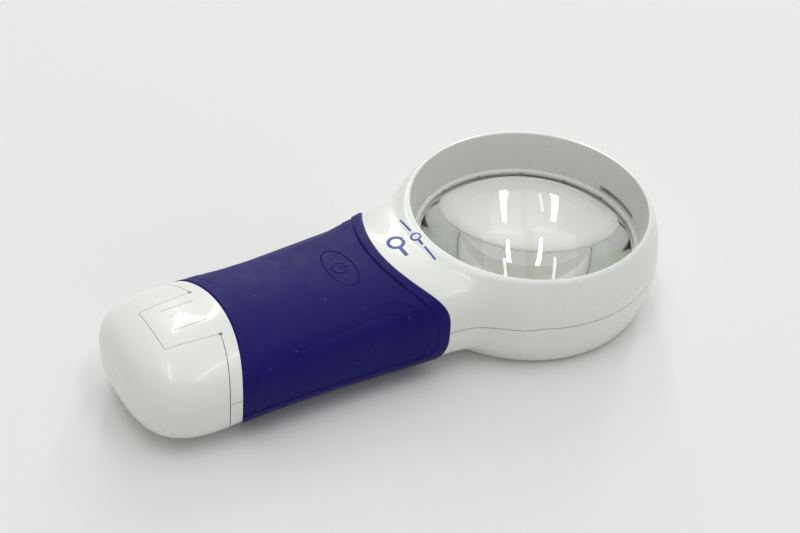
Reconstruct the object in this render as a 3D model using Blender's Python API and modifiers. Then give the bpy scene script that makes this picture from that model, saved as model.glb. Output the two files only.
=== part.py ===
"""Illuminated hand magnifier: a ring head with a thick lens and a flat handle that holds three cells.

All sizes are millimetres in a design frame whose x is measured from the lens axis, positive away
from the handle. at() turns them into the part's own frame, in metres, whose origin is the middle
of the underside of the whole object: +X towards the head, +Z up.
"""
import math

import bmesh
import bpy
from mathutils import Matrix, Vector

MM = 0.001
GAP = 0.3
CLEAN_DISTANCE = 0.000002
OBJECT_NAME = "hand_magnifier"

# Overall form
HEAD_RADIUS = 30.42
HEAD_HEIGHT = 24.0
PARTING_Z = 12.44
HANDLE_END_X = -102.2
LENS_AXIS_X = -(HANDLE_END_X + HEAD_RADIUS) / 2.0

# Handle: a squared-off oval whose rear end is rounded
STRAIGHT_END_X = -84.4
END_ROUNDNESS = 3.0
NECK_START_X = -31.0
NECK_FILLET_RADIUS = 25.2
NECK_END_X = -17.0
# x, half width, top z, bottom z, upper squareness, lower squareness
HANDLE_STATIONS = (
    (-86.0, 18.9, 22.4, 0.0, 2.3, 3.0),
    (-77.0, 18.8, 22.8, 0.0, 2.1, 2.7),
    (-57.0, 19.0, 22.5, 0.0, 2.2, 2.6),
    (-38.0, 19.5, 22.8, 0.2, 2.9, 2.9),
    (-30.0, 19.8, 23.5, 0.8, 3.7, 3.1),
    (-17.0, 20.6, 23.8, 1.0, 4.2, 3.1),
)

# Ring head
WELL_RIM_RADIUS = 27.0
WELL_FLOOR_RADIUS = 25.64
WELL_FLOOR_Z = 14.5
POCKET_RADIUS = 26.9
POCKET_FLOOR_Z = 12.0
APERTURE_RADIUS = 24.2
APERTURE_MOUTH_RADIUS = 24.8
BASE_RADIUS = 27.5
BASE_ROUNDING = 1.2
HEAD_STEPS = 52

# Lens
LENS_UPPER_RADIUS = 38.0
LENS_LOWER_RADIUS = 50.0
LENS_CLEAR_RADIUS = 24.4
LENS_FLANGE_RADIUS = 25.9
LENS_FLANGE_Z = (12.3, 13.1)
RING_INNER_RADIUS = 24.9
RING_NOTCHES = 15
RING_NOTCH = (1.4, 1.0, 0.8)

# Sleeve and its curved edges: upright cylinders, centre x and radius
SLEEVE_THICKNESS = 1.2
FRONT_EDGE = (-6.7, 32.0)
REAR_EDGE = (-125.8, 48.0)
CAP_EDGE = (-128.7, 48.0)

# Walls
CORE_INSET = SLEEVE_THICKNESS + GAP
CAVITY_INSET = 2.8
SPIGOT_INSET = 1.9
SPIGOT_END_X = -89.0
CAP_WALL = 1.5

# Latch tongue
TONGUE_TIP_X = -93.4
TONGUE_ROOT_X = -80.7
TONGUE_TIP_HALF = 6.7
TONGUE_ROOT_HALF = 7.6
TONGUE_HINGE_Z = 21.6
SHELF_Z = 18.4

# Cells
CELL_RADIUS = 5.1
CELL_BODY = 43.7
NUB_RADIUS = 1.9
NUB_LENGTH = 0.8
CELL_PITCH = 10.5
CELL_Z = 11.6
CRADLE_TOP_Z = 8.4
REAR_PLATE_X = -96.8
FRONT_PLATE_X = -49.0
PLATE_THICKNESS = 0.4
SPRING_LENGTH = 2.7

# Button, switch and board
BUTTON_X = -48.9
BUTTON_HALF = (3.15, 6.5)
BUTTON_TRAVEL = 0.5
BOARD_Z = (17.2, 18.0)
SCREW_X = -44.0
SCREW_Y = 11.9

COLOURS = {
    "white_plastic": ((0.80, 0.83, 0.80), 0.22, 0.0),
    "blue_rubber": ((0.025, 0.018, 0.16), 0.62, 0.0),
    "lens_acrylic": ((0.95, 0.98, 0.97), 0.02, 0.0),
    "black_plastic": ((0.02, 0.02, 0.022), 0.45, 0.0),
    "board_green": ((0.02, 0.16, 0.06), 0.4, 0.0),
    "steel": ((0.62, 0.61, 0.58), 0.28, 1.0),
    "cell_label": ((0.05, 0.05, 0.06), 0.35, 0.0),
    "led_body": ((0.92, 0.82, 0.35), 0.2, 0.0),
    "copper": ((0.72, 0.38, 0.2), 0.35, 1.0),
    "red_wire": ((0.6, 0.03, 0.02), 0.4, 0.0),
    "black_wire": ((0.02, 0.02, 0.02), 0.4, 0.0),
}


def at(x, y, z):
    """Point in the part's frame, in metres, of a point in the design frame."""
    return Vector((x + LENS_AXIS_X, y, z)) * MM


# ---------------------------------------------------------------- scene helpers

def clear_scene():
    for old in list(bpy.data.objects):
        bpy.data.objects.remove(old, do_unlink=True)


def make_collection(name):
    collection = bpy.data.collections.new(name)
    bpy.context.scene.collection.children.link(collection)
    return collection


def make_material(name):
    colour, roughness, metallic = COLOURS[name]
    material = bpy.data.materials.new(name)
    material.use_nodes = True
    shader = material.node_tree.nodes["Principled BSDF"]
    shader.inputs["Base Color"].default_value = (*colour, 1.0)
    shader.inputs["Roughness"].default_value = roughness
    shader.inputs["Metallic"].default_value = metallic
    return material


def add_object(name, mesh_or_curve):
    obj = bpy.data.objects.new(name, mesh_or_curve)
    CUTTERS.objects.link(obj)
    obj.hide_render = True
    obj.display_type = "WIRE"
    return obj


def object_from_bmesh(name, bm):
    bmesh.ops.recalc_face_normals(bm, faces=bm.faces)
    mesh = bpy.data.meshes.new(name)
    bm.to_mesh(mesh)
    bm.free()
    return add_object(name, mesh)


def bake(obj):
    """Replace an object's mesh by its evaluated one and drop its modifiers."""
    depsgraph = bpy.context.evaluated_depsgraph_get()
    mesh = bpy.data.meshes.new_from_object(obj.evaluated_get(depsgraph))
    obj.modifiers.clear()
    obj.data = mesh
    return obj


def boolean(obj, operation, *tools):
    for tool in tools:
        modifier = obj.modifiers.new(operation.lower(), "BOOLEAN")
        modifier.operation = operation
        modifier.solver = "EXACT"
        modifier.object = tool
        bake(obj)
        clean_mesh(obj.data)
    return obj


def clean_mesh(mesh):
    """Remove the hair-thin edges that a cut can leave."""
    bm = bmesh.new()
    bm.from_mesh(mesh)
    bmesh.ops.remove_doubles(bm, verts=bm.verts, dist=CLEAN_DISTANCE)
    bmesh.ops.dissolve_degenerate(bm, edges=bm.edges, dist=CLEAN_DISTANCE)
    bm.to_mesh(mesh)
    bm.free()


def cut(obj, *tools):
    return boolean(obj, "DIFFERENCE", *tools)


def join(obj, *tools):
    return boolean(obj, "UNION", *tools)


def keep(obj, *tools):
    return boolean(obj, "INTERSECT", *tools)


def finish_part(obj, name, material, origin):
    """Make an object a part of the magnifier, with its origin at a point of the design frame."""
    CUTTERS.objects.unlink(obj)
    PARTS.objects.link(obj)
    obj.name = name
    obj.hide_render = False
    obj.display_type = "TEXTURED"
    point = at(*origin)
    obj.data.transform(Matrix.Translation(-point))
    obj.location = point
    obj.data.materials.clear()
    obj.data.materials.append(MATERIALS[material])
    obj.data.shade_smooth()
    obj.data.set_sharp_from_angle(angle=math.radians(35.0))
    return obj


def add_axis(name, point, children):
    """Empty on a joint's axis that carries the pieces moving about or along it."""
    axis = bpy.data.objects.new(name, None)
    PARTS.objects.link(axis)
    axis.location = at(*point)
    for child in children:
        child.parent = axis
        child.matrix_parent_inverse = Matrix.Translation(-at(*point))
    return axis


# ---------------------------------------------------------------- shape helpers

def box(name, low, high):
    low, high = at(*low), at(*high)
    bm = bmesh.new()
    place = Matrix.LocRotScale((low + high) / 2.0, None, high - low)
    bmesh.ops.create_cube(bm, size=1.0, matrix=place)
    return object_from_bmesh(name, bm)


def chamfered_box(name, low, high, width):
    obj = box(name, low, high)
    bevel = obj.modifiers.new("bevel", "BEVEL")
    bevel.width = width * MM
    bevel.segments = 1
    return bake(obj)


def rod(name, start, end, radius, segments=20, end_radius=None, stretch=None):
    """Cylinder or cone between two points; stretch scales its section along x and y."""
    start, end = at(*start), at(*end)
    along = end - start
    turn = along.to_track_quat("Z", "Y").to_matrix().to_4x4()
    place = Matrix.Translation((start + end) / 2.0) @ turn
    if stretch:
        place = place @ Matrix.Diagonal((stretch[0], stretch[1], 1.0, 1.0))
    bm = bmesh.new()
    bmesh.ops.create_cone(
        bm, cap_ends=True, segments=segments, radius1=radius * MM,
        radius2=(radius if end_radius is None else end_radius) * MM,
        depth=along.length, matrix=place)
    return object_from_bmesh(name, bm)


def turned(name, profile, steps=HEAD_STEPS, closed=False):
    """Solid of revolution about the lens axis; the profile runs down its outer side."""
    mesh = bpy.data.meshes.new(name)
    points = [(radius * MM, 0.0, z * MM) for radius, z in profile]
    edges = [(i, i + 1) for i in range(len(points) - 1)]
    if closed:
        edges.append((len(points) - 1, 0))
    mesh.from_pydata(points, edges, [])
    obj = add_object(name, mesh)
    screw = obj.modifiers.new("screw", "SCREW")
    screw.steps = steps
    screw.render_steps = steps
    screw.use_merge_vertices = True
    screw.merge_threshold = 0.00001
    bake(obj)
    obj.data.transform(Matrix.Translation(at(0.0, 0.0, 0.0)))
    return obj


def edge_cylinder(name, edge, change):
    """Upright cylinder that forms one of the curved edges, its radius changed by a little."""
    centre_x, radius = edge
    return rod(name, (centre_x, 0.0, -5.0), (centre_x, 0.0, 30.0), radius + change, segments=96)


def oval_prism(name, change):
    """Upright oval cylinder of the push button's outline, grown by a little."""
    half_x, half_y = BUTTON_HALF[0] + change, BUTTON_HALF[1] + change
    return rod(name, (BUTTON_X, 0.0, 19.0), (BUTTON_X, 0.0, 26.0), 1.0, segments=32,
               stretch=(half_x, half_y))


def tongue_prism(name, change, low_z, root_x=-78.0):
    """Upright tapered prism of the latch tongue's outline, grown by a little."""
    tip_x = TONGUE_TIP_X - change
    slope = (TONGUE_ROOT_HALF - TONGUE_TIP_HALF) / (TONGUE_ROOT_X - TONGUE_TIP_X)
    tip_half = TONGUE_TIP_HALF + change
    root_half = tip_half + slope * (root_x - tip_x)
    outline = ((tip_x, -tip_half), (root_x, -root_half), (root_x, root_half), (tip_x, tip_half))
    rings = [[at(x, y, z) for x, y in outline] for z in (low_z, 26.0)]
    return loft(name, rings)


def station_values(x):
    """Handle section at x: a smooth curve through the stations, level at both ends."""
    stations = HANDLE_STATIONS
    if x <= stations[0][0]:
        return list(stations[0][1:])
    if x >= stations[-1][0]:
        return list(stations[-1][1:])
    i = max(k for k in range(len(stations) - 1) if stations[k][0] <= x)

    def slope(k, column):
        if k == 0 or k == len(stations) - 1:
            return 0.0
        before, after = stations[k - 1], stations[k + 1]
        return (after[column] - before[column]) / (after[0] - before[0])

    span = stations[i + 1][0] - stations[i][0]
    t = (x - stations[i][0]) / span
    values = []
    for column in range(1, len(stations[0])):
        a, b = stations[i][column], stations[i + 1][column]
        m, n = slope(i, column) * span, slope(i + 1, column) * span
        values.append((2 * t**3 - 3 * t**2 + 1) * a + (t**3 - 2 * t**2 + t) * m
                      + (3 * t**2 - 2 * t**3) * b + (t**3 - t**2) * n)
    return values


def neck_half_width(x):
    """Half width where the handle sweeps out, in a hollow fillet, to meet the ring head."""
    centre_y = HANDLE_STATIONS[-1][1] + NECK_FILLET_RADIUS
    fillet_end = NECK_START_X * HEAD_RADIUS / (HEAD_RADIUS + NECK_FILLET_RADIUS)
    if x < fillet_end - 2.4:
        return centre_y - math.sqrt(NECK_FILLET_RADIUS**2 - (x - NECK_START_X)**2)
    return math.sqrt((HEAD_RADIUS - 0.25)**2 - x**2)


def handle_section(x, inset):
    half, top, bottom, square_up, square_down = station_values(x)
    if x > NECK_START_X:
        half = neck_half_width(x)
    half, up, down = half - inset, top - PARTING_Z - inset, PARTING_Z - bottom - inset
    if x < STRAIGHT_END_X:
        t = (STRAIGHT_END_X - x) / (STRAIGHT_END_X - HANDLE_END_X - inset)
        shrink = (1.0 - min(t, 1.0)**END_ROUNDNESS) ** (1.0 / END_ROUNDNESS)
        half, up, down = half * shrink, up * shrink, down * shrink
    return half, up, down, square_up, square_down


def section_ring(x, inset, count):
    half, up, down, square_up, square_down = handle_section(x, inset)
    ring = []
    for k in range(count):
        angle = 2.0 * math.pi * k / count
        c, s = math.cos(angle), math.sin(angle)
        power, height = (2.0 / square_up, up) if s >= 0.0 else (2.0 / square_down, down)
        y = math.copysign(half * abs(c)**power, c)
        z = PARTING_Z + math.copysign(height * abs(s)**power, s)
        ring.append(at(x, y, z))
    return ring


def loft(name, rings):
    """Closed skin over successive rings of equally many points."""
    bm = bmesh.new()
    rows = [[bm.verts.new(point) for point in ring] for ring in rings]
    count = len(rows[0])
    for near, far in zip(rows, rows[1:]):
        for k in range(count):
            bm.faces.new((near[k], near[(k + 1) % count], far[(k + 1) % count], far[k]))
    bm.faces.new(rows[0])
    bm.faces.new(rows[-1])
    return object_from_bmesh(name, bm)


def handle_stops(start, end, inset):
    """Section positions: even along the handle, closer on the neck and on the rounded end."""
    tip = HANDLE_END_X + inset
    rounded = [STRAIGHT_END_X + (tip - STRAIGHT_END_X) * math.sin(math.radians(a)) for a in
               (87.0, 80.0, 70.0, 58.0, 44.0, 28.0)]
    straight = [-86.0, -77.0, -67.0, -57.0, -47.0, -38.0, -34.0]
    neck = [-31.0, -28.0, -25.5, -23.0, -20.5, -18.7]
    inner = [x for x in rounded + straight + neck if start + 1.0 < x < end - 1.0]
    return [start] + inner + [end]


def handle_solid(name, inset, start, end, count=28):
    return loft(name, [section_ring(x, inset, count) for x in handle_stops(start, end, inset)])


def arc(centre, radius, first, last, steps):
    """Points of an arc in the turning plane, angles in degrees from outward towards up."""
    angles = [math.radians(first + (last - first) * k / steps) for k in range(steps + 1)]
    return [(centre[0] + radius * math.cos(a), centre[1] + radius * math.sin(a)) for a in angles]


# ---------------------------------------------------------------- ring head

def head_outer_radius(z):
    if z >= PARTING_Z:
        return HEAD_RADIUS - 2.4 * ((z - PARTING_Z) / (HEAD_HEIGHT - PARTING_Z))**2.2
    return HEAD_RADIUS - (HEAD_RADIUS - BASE_RADIUS) * ((PARTING_Z - z) / PARTING_Z)**2


def head_disc():
    """Solid turned form of the ring head, before its well is bored out."""
    wall = [(head_outer_radius(z), z) for z in (23.5, 21.5, 19.0, 16.0, PARTING_Z, 8.5, 5.0, 2.5)]
    foot = arc((BASE_RADIUS - BASE_ROUNDING, BASE_ROUNDING), BASE_ROUNDING, 0.0, -90.0, 3)
    lip = [(0.0, HEAD_HEIGHT), (head_outer_radius(HEAD_HEIGHT) - 0.45, HEAD_HEIGHT)]
    return turned("head_disc", lip + wall + foot + [(0.0, 0.0)])


def well_cutter():
    """Bore of the ring head: tapered well, lens pocket and flared aperture."""
    profile = [
        (0.0, HEAD_HEIGHT + 2.0), (WELL_RIM_RADIUS + 0.3, HEAD_HEIGHT + 2.0),
        (WELL_RIM_RADIUS, HEAD_HEIGHT - 0.3), (WELL_FLOOR_RADIUS, WELL_FLOOR_Z),
        (POCKET_RADIUS, WELL_FLOOR_Z), (POCKET_RADIUS, POCKET_FLOOR_Z),
        (APERTURE_RADIUS, POCKET_FLOOR_Z), (APERTURE_RADIUS, 1.2),
        (APERTURE_MOUTH_RADIUS, 0.0), (APERTURE_MOUTH_RADIUS, -2.0), (0.0, -2.0)]
    return turned("well_cutter", profile)


def ring_channel():
    """Hollow between the inner and outer walls of the ring, open at the parting plane."""
    profile = [(29.0, 17.5), (29.0, 6.0), (27.9, 6.0), (27.9, 17.5)]
    return turned("ring_channel", profile, closed=True)


# ---------------------------------------------------------------- housings

def housing_form():
    """Both housing halves as one body, with the sleeve seat, cap spigot and hollows."""
    cap_side = edge_cylinder("cap_side", CAP_EDGE, 0.5 * GAP)
    form = cut(handle_solid("housing_form", 0.0, SPIGOT_END_X, NECK_END_X), cap_side)
    seat = handle_solid("sleeve_seat", -0.6, -84.5, -30.5)
    cut(seat, edge_cylinder("seat_rear", REAR_EDGE, 0.0), edge_cylinder("seat_front", FRONT_EDGE, 0.0))
    cut(form, seat)
    join(form, cut(handle_solid("core", CORE_INSET, -83.0, -29.0), cap_side))
    join(form, handle_solid("spigot", SPIGOT_INSET, SPIGOT_END_X, -76.0))
    join(form, head_disc())
    cut(form, handle_solid("cavity", CAVITY_INSET, SPIGOT_END_X - 2.0, -29.3))
    for side in (-1, 1):
        y = side * SCREW_Y
        join(form, rod("boss", (SCREW_X, y, 4.9), (SCREW_X, y, 18.4), 3.1))
        cut(form, rod("screw_head_hole", (SCREW_X, y, -1.0), (SCREW_X, y, 5.9), 2.5),
            rod("screw_hole", (SCREW_X, y, 5.0), (SCREW_X, y, 17.3), 1.4, segments=14))
    cut(form, well_cutter(), ring_channel(), oval_prism("button_hole", GAP))
    cut(form, box("light_port", (-31.0, -6.9, 4.4), (-21.0, 6.9, 10.8)))
    cut(form, box("clip_slot", (24.0, -6.7, 14.0), (27.9, 6.7, 15.8)))
    return form


def make_housings():
    top = housing_form()
    bottom = add_object("bottom_form", top.data.copy())
    cut(top, box("below_parting", (-120, -40, -5), (40, 40, PARTING_Z + 0.5 * GAP)),
        box("latch_notch", (-93, -9.6, 16.5), (-81.6, 9.6, 26)))
    cut(bottom, box("above_parting", (-120, -40, PARTING_Z - 0.5 * GAP), (40, 40, 30)))
    for side in (-1, 1):
        join(bottom, rod("board_post", (-34.5, side * 6.9, 3.4), (-34.5, side * 6.9, 16.9), 1.3, 12))
    finish_part(top, "top_housing", "white_plastic", (0, 0, HEAD_HEIGHT))
    finish_part(bottom, "bottom_housing", "white_plastic", (0, 0, 0))
    return [top, bottom]


def make_sleeve_and_button():
    sleeve = handle_solid("sleeve", 0.0, -84.5, -30.5, count=32)
    cut(sleeve, edge_cylinder("sleeve_rear", REAR_EDGE, GAP),
        edge_cylinder("sleeve_front", FRONT_EDGE, GAP),
        handle_solid("sleeve_bore", SLEEVE_THICKNESS, -88.0, -26.0, count=32))
    pad = handle_solid("pad", 0.0, -60.0, -40.0, count=32)
    keep(pad, oval_prism("pad_outline", 0.0))
    cut(pad, handle_solid("pad_underside", 0.9, -64.0, -36.0, count=32))
    cut(sleeve, oval_prism("pad_hole", GAP))
    finish_part(sleeve, "grip_sleeve", "blue_rubber", (-57, 0, PARTING_Z))
    finish_part(pad, "button_pad", "blue_rubber", (BUTTON_X, 0, 22.0))
    key = rod("key", (BUTTON_X, 0, 20.45), (BUTTON_X, 0, 21.25), 1.0, 28,
              stretch=(BUTTON_HALF[0] - 0.5, BUTTON_HALF[1] - 1.0))
    finish_part(key, "button_key", "black_plastic", (BUTTON_X, 0, 21.0))
    stem = rod("stem", (BUTTON_X, 0, 19.3), (BUTTON_X, 0, 20.15), 1.3, 16)
    finish_part(stem, "switch_stem", "black_plastic", (BUTTON_X, 0, 20.0))
    add_axis("button_axis", (BUTTON_X, 0, 22.0), [pad, key, stem])
    return [sleeve]


# ---------------------------------------------------------------- lens

def lens_surface(radius, side):
    """Arc of a lens surface from the axis to the clear edge, as points about the edge's height."""
    edge_angle = math.degrees(math.acos(LENS_CLEAR_RADIUS / radius))
    drop = math.sqrt(radius**2 - LENS_CLEAR_RADIUS**2)
    points = arc((0.0, -drop), radius, 90.0, edge_angle, 6)
    points[0] = (0.0, points[0][1])
    return [(r, side * z) for r, z in points]


def make_lens():
    low, high = LENS_FLANGE_Z
    upper = [(r, high + z) for r, z in lens_surface(LENS_UPPER_RADIUS, 1.0)]
    lower = [(r, low + z) for r, z in reversed(lens_surface(LENS_LOWER_RADIUS, -1.0))]
    flange = [(LENS_FLANGE_RADIUS, high), (LENS_FLANGE_RADIUS, low)]
    lens = turned("lens_form", upper + flange + lower, steps=40)
    finish_part(lens, "lens", "lens_acrylic", (0, 0, low))
    ring_low, ring_high = high + GAP, WELL_FLOOR_Z - GAP
    profile = [(POCKET_RADIUS - GAP, ring_high), (POCKET_RADIUS - GAP, ring_low),
               (RING_INNER_RADIUS, ring_low), (RING_INNER_RADIUS, ring_high)]
    ring = turned("ring_form", profile, steps=HEAD_STEPS, closed=True)
    bm = bmesh.new()
    for k in range(RING_NOTCHES):
        turn = Matrix.Rotation(math.radians(12.0 + 360.0 * k / RING_NOTCHES), 4, "Z")
        place = Matrix.Translation(at(0, 0, 0)) @ turn @ Matrix.Translation(
            Vector((RING_INNER_RADIUS, 0.0, ring_high)) * MM)
        size = Matrix.Diagonal((*(Vector(RING_NOTCH) * MM), 1.0))
        bmesh.ops.create_cube(bm, size=1.0, matrix=place @ size)
    cut(ring, object_from_bmesh("ring_notches", bm))
    finish_part(ring, "lens_retaining_ring", "white_plastic", (0, 0, ring_low))


# ---------------------------------------------------------------- battery compartment

def make_cap_and_latch():
    cap = handle_solid("cap_form", 0.0, HANDLE_END_X + 0.02, -79.0)
    keep(cap, edge_cylinder("cap_side_inner", CAP_EDGE, -0.5 * GAP))
    cut(cap, handle_solid("cap_hollow", CAP_WALL, HANDLE_END_X + CAP_WALL + 0.02, -77.0))
    join(cap, box("contact_block", (-101.0, -8.4, 8.5), (REAR_PLATE_X - 0.7, 8.4, 15.0)))
    join(cap, box("latch_bay", (-95.2, -9.2, SHELF_Z - 1.0), (-82.8, 9.2, 20.6)))
    cut(cap, tongue_prism("tongue_slot", GAP, SHELF_Z))
    finish_part(cap, "battery_cap", "white_plastic", (-95, 0, PARTING_Z))

    tongue = handle_solid("tongue_form", 0.0, -96.0, -78.0)
    keep(tongue, tongue_prism("tongue_outline", 0.0, 15.0),
         edge_cylinder("tongue_root", CAP_EDGE, -0.5 * GAP))
    cut(tongue, handle_solid("tongue_underside", CAP_WALL, -98.0, -76.0))
    catch = box("catch", (-91.6, -3.0, 19.9), (-90.4, 3.0, 21.4))
    join(tongue, catch)
    finish_part(tongue, "latch_tongue", "white_plastic", (TONGUE_ROOT_X, 0, TONGUE_HINGE_Z))
    return cap, tongue


def make_cell(index, y, faces_front):
    """Cylindrical cell with its raised terminal towards the front or the rear of the handle."""
    if faces_front:
        tip = FRONT_PLATE_X - GAP
        body = (tip - NUB_LENGTH - CELL_BODY, tip - NUB_LENGTH)
        nub = (body[1] - 0.2, tip)
    else:
        tip = REAR_PLATE_X + GAP
        body = (tip + NUB_LENGTH, tip + NUB_LENGTH + CELL_BODY)
        nub = (body[0] + 0.2, tip)
    cell = rod("cell", (body[0], y, CELL_Z), (body[1], y, CELL_Z), CELL_RADIUS, 28)
    bevel = cell.modifiers.new("bevel", "BEVEL")
    bevel.width = 0.3 * MM
    bevel.limit_method = "ANGLE"
    bake(cell)
    join(cell, rod("nub", (nub[0], y, CELL_Z), (nub[1], y, CELL_Z), NUB_RADIUS, 14))
    finish_part(cell, "cell_%d" % index, "cell_label", ((body[0] + body[1]) / 2, y, CELL_Z))


def make_spring(index, y, plate_x, towards_front):
    """Conical wire spring standing on a contact plate."""
    direction = 1.0 if towards_front else -1.0
    wire = 0.28
    turns, points_per_turn = 2.5, 8
    count = int(turns * points_per_turn)
    length = SPRING_LENGTH - 2.0 * GAP - 2.0 * wire
    curve = bpy.data.curves.new("spring_wire", "CURVE")
    curve.dimensions = "3D"
    curve.bevel_depth = wire * MM
    curve.bevel_resolution = 2
    curve.use_fill_caps = True
    spline = curve.splines.new("POLY")
    spline.points.add(count)
    for k in range(count + 1):
        t = k / count
        angle = 2.0 * math.pi * turns * t
        radius = 3.4 - 1.7 * t
        x = plate_x + direction * (GAP + wire + length * t)
        point = at(x, y + radius * math.cos(angle), CELL_Z + radius * math.sin(angle))
        spline.points[k].co = (*point, 1.0)
    name = "cap_spring_%d" if towards_front else "front_spring_%d"
    return mesh_from_curve(curve, name % index, "steel", (plate_x, y, CELL_Z))


def mesh_from_curve(curve, name, material, origin):
    wire = add_object("wire", curve)
    depsgraph = bpy.context.evaluated_depsgraph_get()
    mesh = bpy.data.meshes.new_from_object(wire.evaluated_get(depsgraph))
    bm = bmesh.new()
    bm.from_mesh(mesh)
    bmesh.ops.remove_doubles(bm, verts=bm.verts, dist=0.00001)
    bm.to_mesh(mesh)
    bm.free()
    bpy.data.objects.remove(wire)
    return finish_part(add_object(name, mesh), name, material, origin)


def make_lead(name, material, points):
    curve = bpy.data.curves.new(name, "CURVE")
    curve.dimensions = "3D"
    curve.bevel_depth = 0.45 * MM
    curve.bevel_resolution = 2
    curve.use_fill_caps = True
    spline = curve.splines.new("POLY")
    samples = smooth_path(points, 4)
    spline.points.add(len(samples) - 1)
    for target, point in zip(spline.points, samples):
        target.co = (*at(*point), 1.0)
    return mesh_from_curve(curve, name, material, points[0])


def smooth_path(points, steps):
    """Points of a smooth curve through the given ones."""
    padded = [points[0]] + list(points) + [points[-1]]
    path = []
    for a, b, c, d in zip(padded, padded[1:], padded[2:], padded[3:]):
        for k in range(steps):
            t = k / steps
            path.append(tuple(0.5 * (2 * q + (r - p) * t + (2 * p - 5 * q + 4 * r - s) * t**2
                                     + (3 * q - p - 3 * r + s) * t**3)
                              for p, q, r, s in zip(a, b, c, d)))
    path.append(points[-1])
    return path


def make_battery_parts():
    front = FRONT_PLATE_X + PLATE_THICKNESS
    rear = REAR_PLATE_X - PLATE_THICKNESS
    cradle = handle_solid("cradle_form", CAVITY_INSET + GAP, -88.0, front + 1.1)
    cut(cradle, box("cradle_trim", (-120, -40, CRADLE_TOP_Z), (-30, 40, 32)))
    for row in (-1, 0, 1):
        y = row * CELL_PITCH
        trough_end = (FRONT_PLATE_X + GAP, y, CELL_Z)
        cut(cradle, rod("trough", (-100, y, CELL_Z), trough_end, CELL_RADIUS + 0.25, 28))
    cut(cradle, box("plate_seat", (FRONT_PLATE_X - 0.7, -17.8, 5.9), (front + GAP, 17.8, 30)))
    bulkhead = handle_solid("bulkhead", CAVITY_INSET + GAP + 0.1, front + 0.4, front + 1.1)
    cut(bulkhead, box("bulkhead_trim", (-60, -41, 14.9), (-30, 41, 31)))
    join(cradle, bulkhead)
    finish_part(cradle, "battery_cradle", "black_plastic", (-75, 0, CELL_Z))

    make_cell(1, -CELL_PITCH, True)
    make_cell(2, 0.0, False)
    make_cell(3, CELL_PITCH, True)

    edge, cap_edge = CELL_PITCH + 2.6, CELL_PITCH + 1.8
    single = box("plate", (FRONT_PLATE_X, -edge, 8.2), (front, -5.9, 14.6))
    join(single, box("tab", (FRONT_PLATE_X, -8.2, 14.0), (front, -6.4, 16.9)))
    finish_part(single, "front_contact_single", "steel", (FRONT_PLATE_X, -CELL_PITCH, CELL_Z))
    link = chamfered_box("plate", (FRONT_PLATE_X, -3.8, 8.2), (front, edge, 14.6), 0.05)
    finish_part(link, "front_contact_link", "steel", (FRONT_PLATE_X, 5.35, CELL_Z))
    cap_link = chamfered_box("plate", (rear, -cap_edge, 8.6), (REAR_PLATE_X, 3.4, 14.6), 0.05)
    finish_part(cap_link, "cap_contact_link", "steel", (REAR_PLATE_X, -5.35, CELL_Z))
    cap_single = box("plate", (rear, 4.3, 8.6), (REAR_PLATE_X, cap_edge, 14.6))
    join(cap_single, box("strip_touch", (rear, 4.5, 14.0), (REAR_PLATE_X, 6.6, 15.9)))
    finish_part(cap_single, "cap_contact_single", "steel", (REAR_PLATE_X, CELL_PITCH, CELL_Z))
    strip = box("strip", (REAR_PLATE_X + GAP, 4.7, 15.2), (front + 2.4, 6.0, 15.6))
    join(strip, box("strip_tab", (front + 2.0, 4.7, 15.3), (front + 2.4, 6.0, 16.9)))
    finish_part(strip, "negative_strip", "steel", (-75, 5.35, 15.4))
    springs = [make_spring(1, -CELL_PITCH, REAR_PLATE_X, True),
               make_spring(3, CELL_PITCH, REAR_PLATE_X, True)]
    make_spring(2, 0.0, FRONT_PLATE_X, False)
    return [cap_link, cap_single] + springs


# ---------------------------------------------------------------- electronics and light

def make_electronics():
    low, high = BOARD_Z
    board = box("board", (-55.5, -8.5, low), (-31.5, 8.5, high))
    finish_part(board, "circuit_board", "board_green", (-43, 0, low))
    corner, far_corner = (BUTTON_X - 2.6, -2.6, high + GAP), (BUTTON_X + 2.6, 2.6, 19.75)
    body = chamfered_box("switch", corner, far_corner, 0.25)
    cut(body, rod("stem_hole", (BUTTON_X, 0, 18.65), (BUTTON_X, 0, 21.0), 1.6, 16))
    finish_part(body, "switch_body", "black_plastic", (BUTTON_X, 0, high))
    chip = chamfered_box("chip", (-42.2, -1.6, high + GAP), (-39.2, 1.6, high + GAP + 0.9), 0.12)
    finish_part(chip, "driver_chip", "black_plastic", (-40.7, 0, high))
    resistor = chamfered_box("resistor", (-42.0, 4.2, high + GAP), (-40.0, 5.4, high + GAP + 0.6), 0.12)
    finish_part(resistor, "limiting_resistor", "black_plastic", (-41, 4.8, high))
    coil = rod("coil", (-44.0, -4.2, 13.6), (-44.0, -4.2, low - GAP), 2.9, 20)
    finish_part(coil, "inductor", "copper", (-44.0, -4.2, low))
    can = rod("can", (-44.0, 3.6, 12.4), (-44.0, 3.6, low - GAP), 2.1, 18)
    finish_part(can, "capacitor", "steel", (-44.0, 3.6, low))


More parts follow.
